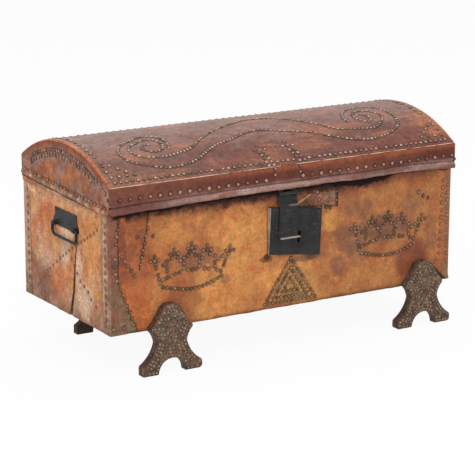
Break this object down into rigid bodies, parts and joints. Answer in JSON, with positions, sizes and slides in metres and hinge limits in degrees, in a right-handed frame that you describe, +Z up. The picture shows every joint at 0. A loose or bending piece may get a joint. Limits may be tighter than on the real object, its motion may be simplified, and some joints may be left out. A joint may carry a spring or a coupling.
{
  "type": "dome-topped chest",
  "caption": "Dome-topped travelling chest of leather-covered boards with domed nail figures, iron lock, hinged hasp, drop handles and shaped feet.",
  "frame": {"origin": "centre of the bounding box on the floor, under the feet", "axes": "+X along the front to the viewer's right, +Y towards the back, +Z up; the lock and hasp face -Y"},
  "size_m": [0.923, 0.4451, 0.4902],
  "materials": {
    "oak_board": "old unfinished board",
    "foot_wood": "dark stained plank",
    "body_leather": "worn tan leather",
    "lid_leather": "dark red-brown waxed leather",
    "strip_leather": "dark worn leather",
    "foot_leather": "dark worn leather",
    "brass_nail": "tarnished brass",
    "black_iron": "black forged iron",
    "nail_iron": "dull iron"
  },
  "bodies": {
    "chest": {"bottom_board": "oak_board", "front_board": "oak_board", "back_board": "oak_board", "left_end_board": "oak_board", "right_end_board": "oak_board", "front_leather": "body_leather", "back_leather": "body_leather", "left_end_leather": "body_leather", "right_end_leather": "body_leather", "front_left_corner_strip": "strip_leather", "front_right_corner_strip": "strip_leather", "back_left_corner_strip": "strip_leather", "back_right_corner_strip": "strip_leather", "left_foot_bearer": "oak_board", "right_foot_bearer": "oak_board", "front_left_foot": "foot_wood", "front_right_foot": "foot_wood", "rear_left_foot": "foot_wood", "rear_right_foot": "foot_wood", "front_left_foot_leather": "foot_leather", "front_right_foot_leather": "foot_leather", "lock_case": "black_iron", "lock_back_plate": "black_iron", "lock_spring": "black_iron", "left_handle_plate": "black_iron", "right_handle_plate": "black_iron", "left_hinge_body_leaf": "black_iron", "right_hinge_body_leaf": "black_iron", "left_hinge_pin": "black_iron", "right_hinge_pin": "black_iron", "front_nails": "brass_nail", "end_nails": "brass_nail", "foot_nails": "brass_nail", "iron_nails": "nail_iron"},
    "lid": {"lid_front_board": "oak_board", "lid_back_board": "oak_board", "lid_left_end_board": "oak_board", "lid_right_end_board": "oak_board", "lid_stave_1": "oak_board", "lid_stave_2": "oak_board", "lid_stave_3": "oak_board", "lid_stave_4": "oak_board", "lid_stave_5": "oak_board", "lid_top_leather": "lid_leather", "lid_front_leather": "lid_leather", "lid_back_leather": "lid_leather", "lid_left_end_leather": "lid_leather", "lid_right_end_leather": "lid_leather", "left_hinge_lid_leaf": "black_iron", "right_hinge_lid_leaf": "black_iron", "hasp_leaf": "black_iron", "hasp_pin": "black_iron", "lid_top_nails": "brass_nail", "lid_side_nails": "brass_nail", "lid_iron_nails": "nail_iron"},
    "hasp": {"hasp": "black_iron", "hasp_staple": "black_iron"},
    "left_bail": {"left_handle_bail": "black_iron"},
    "right_bail": {"right_handle_bail": "black_iron"},
    "bolt": {"lock_bolt": "black_iron"}
  },
  "joints": [
    {"name": "lid_hinge", "type": "hinge", "parent": "chest", "child": "lid", "pos_m": [0, 0.2173, 0.372], "axis": [-1, 0, 0], "range_deg": [0, 100]},
    {"name": "hasp_hinge", "type": "hinge", "parent": "lid", "child": "hasp", "pos_m": [-0.008, -0.2064, 0.361], "axis": [-1, 0, 0], "range_deg": [0, 120]},
    {"name": "left_bail_pivot", "type": "hinge", "parent": "chest", "child": "left_bail", "pos_m": [-0.456, 0.0029, 0.2985], "axis": [0, 1, 0], "range_deg": [0, 95]},
    {"name": "right_bail_pivot", "type": "hinge", "parent": "chest", "child": "right_bail", "pos_m": [0.456, 0.0029, 0.2985], "axis": [0, -1, 0], "range_deg": [0, 95]},
    {"name": "bolt_slide", "type": "slide", "parent": "chest", "child": "bolt", "axis": [-1, 0, 0], "range_m": [0, 0.012]}
  ]
}
